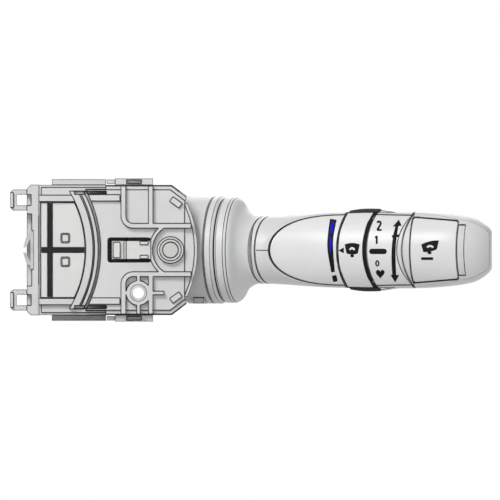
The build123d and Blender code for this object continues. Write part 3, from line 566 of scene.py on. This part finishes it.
def stroke(stations, steps=8):
    """The closed outline of a pen stroke through stations of x, z and width, smoothed between them."""
    line = []
    padded = [stations[0]] + stations + [stations[-1]]
    for a, b, c, d in zip(padded, padded[1:], padded[2:], padded[3:]):
        for i in range(steps):
            t = i / steps
            line.append([0.5 * (2 * q + (r - p) * t + (2 * p - 5 * q + 4 * r - s) * t * t
                                + (3 * q - p - 3 * r + s) * t ** 3) for p, q, r, s in zip(a, b, c, d)])
    line.append(stations[-1])
    left = []
    right = []
    for i, (x, z, width) in enumerate(line):
        ahead = line[min(i + 1, len(line) - 1)]
        behind = line[max(i - 1, 0)]
        along = Vector((ahead[0] - behind[0], ahead[1] - behind[1])).normalized() * width / 2
        left.append((x - along.y, z + along.x))
        right.append((x + along.y, z - along.x))
    return left + right[::-1]


def rounded(x, z, width, height, radius, turn=0.0, steps=6):
    """A rounded rectangle round a centre, turned by some degrees."""
    outline = []
    tilt = math.radians(turn)
    for side_x, side_z, first in ((1, 1, 0), (-1, 1, 90), (-1, -1, 180), (1, -1, 270)):
        for i in range(steps + 1):
            angle = math.radians(first + 90 * i / steps)
            across = side_x * (width / 2 - radius) + radius * math.cos(angle)
            up = side_z * (height / 2 - radius) + radius * math.sin(angle)
            outline.append((x + across * math.cos(tilt) - up * math.sin(tilt),
                            z + across * math.sin(tilt) + up * math.cos(tilt)))
    return outline


stem_skin = skin("stem_front_panel", "stem_rear_shell")
scale_bar = stroke([(60.6, 11.4, 2.5), (59.6, 5.2, 2.15), (59.5, 0.0, 2.1), (60.5, -8.2, 1.35)])
blue_top = stroke([(60.35, 10.5, 1.1), (59.85, 6.3, 0.95)])
blue_low = stroke([(59.62, 4.7, 0.85), (59.5, -0.7, 0.65)])
lay_ink("scale_bar", [scale_bar], stem_skin, "lever", black_ink)
# Painted shade: a black film along the rear shell's parting line, where the seam looks dark.
lay_ink("stem_seam_shade", [rounded(34.15, -0.1, 4.6, 0.32, 0.1)], stem_skin, "lever", black_ink)
lay_ink("scale_dash", [rounded(61.15, -10.6, 1.7, 2.4, 0.4, 12)], stem_skin, "lever", black_ink)
lay_ink("scale_blue_top", [blue_top], stem_skin, "lever", blue_ink, 2)
lay_ink("scale_blue_low", [blue_low], stem_skin, "lever", blue_ink, 2)

# Interval ring
# The ring's smooth front carries a pointer and a windscreen symbol, and a black band along its right edge.
# The black line along its left edge is painted shade, where the gap beside the ring is dark. Each follows the
# ring's own edge, which is found by looking at the ring from the front, in millimetres.

RIM_WIDTH = 1.4
RIM_HALF = 13.9
EDGE_WIDTH = 0.5
EDGE_HALF = 13.55
RIM_INSET = 0.12
RIM_STEP = 5
SEARCH_STEP = 0.03
SEARCH_COUNT = 300
RING_FACE_X = 68
RING_FRONT = 0.002
ring_skin = skin("interval_ring")


def ring_edge(z, way):
    """How far the ring's front reaches to the right or the left at a height, in millimetres."""
    edge = RING_FACE_X
    for i in range(SEARCH_COUNT):
        x = RING_FACE_X + way * i * SEARCH_STEP
        hit = ring_skin.ray_cast(Vector((x * MM, IN_FRONT, z * MM)), BACKWARD)[0]
        if hit is not None and hit.y < AXIS_LEVEL - hit.x * math.tan(LEAN) - RING_FRONT:
            edge = x
    return edge


# The left edge's black line is painted shade, where the gap beside the ring is dark.
rims = (("ring_rim", 1, RIM_WIDTH, RIM_HALF), ("ring_edge_shade", -1, EDGE_WIDTH, EDGE_HALF))
for name, way, width, half in rims:
    heights = [half * math.sin(math.radians(angle)) for angle in range(-90, 91, RIM_STEP)]
    rim = [(ring_edge(z, way) - way * RIM_INSET, z) for z in heights]
    rim += [(x - way * width, z) for x, z in reversed(rim)]
    lay_ink(name, [rim], ring_skin, "ring", black_ink, 2)
lay_ink("ring_pointer", [[(62.5, -0.15), (64.5, 0.95), (64.5, -1.25)]], ring_skin, "ring", black_ink)

SCREEN_STEPS = 12


def windscreen(x, z, width, height, slant):
    """The outlines of a windscreen with a wiper's sweep left clear in it, and those of the jet below it."""
    top = []
    low = []
    sweep_outer = []
    sweep_inner = []
    for i in range(SCREEN_STEPS + 1):
        across = i / SCREEN_STEPS * 2 - 1
        bow = 1 - across * across
        top.append((x + across * width * 0.5, z + height * (0.4 + 0.1 * bow) + slant * across))
        low.append((x + across * width * 0.38, z - height * (0.24 + 0.08 * bow) + slant * across * 0.7))
        angle = math.radians(30 + 120 * i / SCREEN_STEPS)
        centre = z - height * 0.13
        sweep_outer.append((x + width * 0.24 * math.cos(angle), centre + height * 0.34 * math.sin(angle)))
        sweep_inner.append((x + width * 0.13 * math.cos(angle), centre + height * 0.18 * math.sin(angle)))
    jet = rounded(x - slant * 0.3, z - height * 0.42, width * 0.24, height * 0.2, width * 0.08)
    return [top + low[::-1], sweep_outer + sweep_inner[::-1]], [jet]


screen, jet = windscreen(67.6, 0.0, 5.6, 5.2, 0.0)
lay_ink("ring_symbol", screen, ring_skin, "ring", black_ink)
lay_ink("ring_symbol_jet", jet, ring_skin, "ring", black_ink)

# Ring grip
# A black rubber sleeve is moulded round the back of the ring, covered with rows of small round pips.
# It follows the ring solid's own surface, and every second row of pips stands half a step further round.

PIP_ROWS = 12
PIPS_ROUND = 44
PIP_RADIUS = 0.00042
PIP_FLATNESS = 0.75
GRIP_SINK = 0.00035
GRIP_WALL = 0.0014
GRIP_END_GAP = 0.00045
GRIP_SIDE_GAP = 2.5
SCAN_STEP = 0.0001
SCAN = range(600, 900)
TURN_STEP = 0.5
SIGHT_START = 0.03
SIGHT_REACH = 0.0165
UPWARD = Vector((0, 0, 1))
grip_skin = skin("ring_grip")
grip_black = rubbery("grip_black", (0.010, 0.010, 0.011), 0.55, 0.004)


def grip_point(along, angle):
    """Where a line out from the lever's axis leaves the grip, or nothing where there is no grip."""
    outward = BEHIND * math.cos(angle) + UPWARD * math.sin(angle)
    far = AXIS_PLACE + ALONG * along + outward * SIGHT_START
    return grip_skin.ray_cast(far, -outward, SIGHT_REACH)[0]


found = [i * SCAN_STEP for i in SCAN if grip_point(i * SCAN_STEP, 0) is not None]
first = found[0] + GRIP_END_GAP
last = found[-1] - GRIP_END_GAP
half_turn = 0
while grip_point((first + last) / 2, math.radians(half_turn)) is not None:
    half_turn += TURN_STEP
half_turn = math.radians(half_turn - GRIP_SIDE_GAP)

shell = bmesh.new()
pip_mark = shell.verts.layers.float.new("pip")
grid = []
for row in range(PIP_ROWS + 1):
    along = first + (last - first) * row / PIP_ROWS
    radii = []
    for turn in (0, half_turn * 0.5, -half_turn * 0.5):
        hit = grip_point(along, turn)
        if hit is not None:
            radii.append((hit - AXIS_PLACE - ALONG * along).length)
    radius = max(radii)
    line = []
    for i in range(PIPS_ROUND + 1):
        shift = 0.5 if row % 2 and 0 < i < PIPS_ROUND else 0.0
        angle = half_turn * ((i + shift) / PIPS_ROUND * 2 - 1)
        outward = BEHIND * math.cos(angle) + UPWARD * math.sin(angle)
        middle = AXIS_PLACE + ALONG * along
        outer = shell.verts.new(middle + outward * (radius - GRIP_SINK))
        outer[pip_mark] = float(0 < row < PIP_ROWS and 0 < i < PIPS_ROUND)
        inner = shell.verts.new(middle + outward * (radius - GRIP_WALL - GRIP_SINK))
        line.append((outer, inner))
    grid.append(line)
for near, far in zip(grid, grid[1:]):
    for (a, b), (c, d), (e, f), (g, h) in zip(near, near[1:], far, far[1:]):
        shell.faces.new((a, e, g, c))
        shell.faces.new((b, d, h, f))
for line, flip in ((grid[0], 1), (grid[-1], -1)):
    for (a, b), (c, d) in zip(line, line[1:]):
        shell.faces.new((a, c, d, b)[::flip])
for side, flip in ((0, -1), (-1, 1)):
    for near, far in zip(grid, grid[1:]):
        (a, b), (c, d) = near[side], far[side]
        shell.faces.new((a, c, d, b)[::flip])
bmesh.ops.recalc_face_normals(shell, faces=shell.faces)
grip_base = bpy.data.meshes.new("grip_base")
shell.to_mesh(grip_base)
shell.free()

pips = Growth("grip_pips", ["Radius", "Flatness"])
ball = pips.node("GeometryNodeMeshUVSphere", Segments=10, Rings=6, Radius=pips.size("Radius"))
chosen = pips.node("GeometryNodeInputNamedAttribute", {"data_type": "FLOAT"}, Name="pip")
outward = pips.node("GeometryNodeInputNormal")
facing = pips.node("FunctionNodeAlignRotationToVector", {"axis": "Z"}, Vector=outward)
squashed = pips.node("ShaderNodeCombineXYZ", X=1.0, Y=1.0, Z=pips.size("Flatness"))
rows = pips.node("GeometryNodeInstanceOnPoints", Points=pips.size("Geometry"), Selection=chosen,
                 Instance=ball, Rotation=facing, Scale=squashed)
both = pips.node("GeometryNodeJoinGeometry")
for part in (pips.size("Geometry"), rows):
    pips.tree.links.new(part, both.node.inputs[0])
pips.close(both)
ring_grip = pips.grow("grip_sleeve", grip_base, {"Radius": PIP_RADIUS, "Flatness": PIP_FLATNESS,
                                                 "Material": grip_black})
for face in ring_grip.data.polygons:
    face.use_smooth = True
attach(ring_grip, "ring")
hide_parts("ring_grip")
finish_nodes(rubbery("track_carbon", (0.012, 0.012, 0.013), 0.45, 0.004), "ring_track")

# Wiper positions
# The panel right of the ring is printed with the wiper's positions: 2, 1, interval, 0 and mist.
# Beside them a long arrow with two heads shows the way that the lever moves.

PEN = 0.72
ZERO_WALL = 0.52
panel_skin = skin("position_panel", "mid_sleeve", "end_cap")
two_curve = [(-0.72, 1.15), (-0.42, 1.55), (0.1, 1.62), (0.55, 1.2), (0.45, 0.55), (-0.1, -0.45),
             (-0.68, -1.35)]
two = stroke([(77.66 + x, 8.95 + z, PEN) for x, z in two_curve])
flag = stroke([(76.75, 5.1, PEN), (76.1, 4.55, PEN * 0.8)])
oval = [(math.cos(math.radians(a)), math.sin(math.radians(a))) for a in range(0, 360, 15)]
zero = [[(76.97 + x * (0.78 - wall), -4.95 + z * (1.2 - wall)) for x, z in oval] for wall in (0, ZERO_WALL)]
drop_turns = [math.radians(a) for a in range(0, 360, 9)]
mist = [(78.05 + 1.62 * math.sin(a) ** 3,
         -8.75 + 1.5 * math.cos(a) - 0.58 * math.cos(2 * a) - 0.22 * math.cos(3 * a) - 0.1 * math.cos(4 * a))
        for a in drop_turns]
shaft = stroke([(84.4, 9.4, 1.0), (83.6, 5.6, 1.35), (83.05, 0.5, 1.45), (83.05, -5.0, 1.5),
                (83.3, -9.8, 1.4)])
prints = {
    "digit_2": [two],
    "digit_2_foot": [rounded(77.7, 7.45, 1.75, PEN, 0.1)],
    "digit_1": [rounded(76.75, 3.8, PEN, 3.1, 0.1)],
    "digit_1_flag": [flag],
    "digit_0": zero,
    "interval_mark": [rounded(77.2, -0.52, 6.5, 2.0, 0.95)],
    "mist_mark": [mist],
    "travel_shaft": [shaft],
    "travel_head_up": [[(85.0, 11.3), (86.0, 9.0), (82.7, 8.7)]],
    "travel_head_down": [[(83.6, -12.0), (81.9, -9.3), (85.1, -9.3)]],
    "travel_tick": [rounded(83.8, 5.2, 2.9, 0.9, 0.3, 8)],
}
for name, outlines in prints.items():
    lay_ink(name, outlines, panel_skin, "lever", black_ink)

# Wash pad
# The pad in the tip is pressed for the front washer. It is printed with a slanted windscreen symbol over a
# short bar. A silicone dome on the board gives the click, and flattens as the pad's post comes down on it;
# its piece here keeps one shape.

pad_skin = skin("wash_button")
screen, jet = windscreen(96.6, 0.9, 6.6, 4.7, 0.75)
lay_ink("pad_symbol", screen, pad_skin, "button", black_ink)
lay_ink("pad_symbol_jet", jet, pad_skin, "button", black_ink)
lay_ink("pad_mark", [rounded(95.5, -3.2, 4.5, 1.0, 0.3)], pad_skin, "button", black_ink)
dome_silicone = rubbery("dome_silicone", (0.32, 0.32, 0.31), 0.5, 0.02)
springy("wash_dome", "button_dome", "lever", dome_silicone)
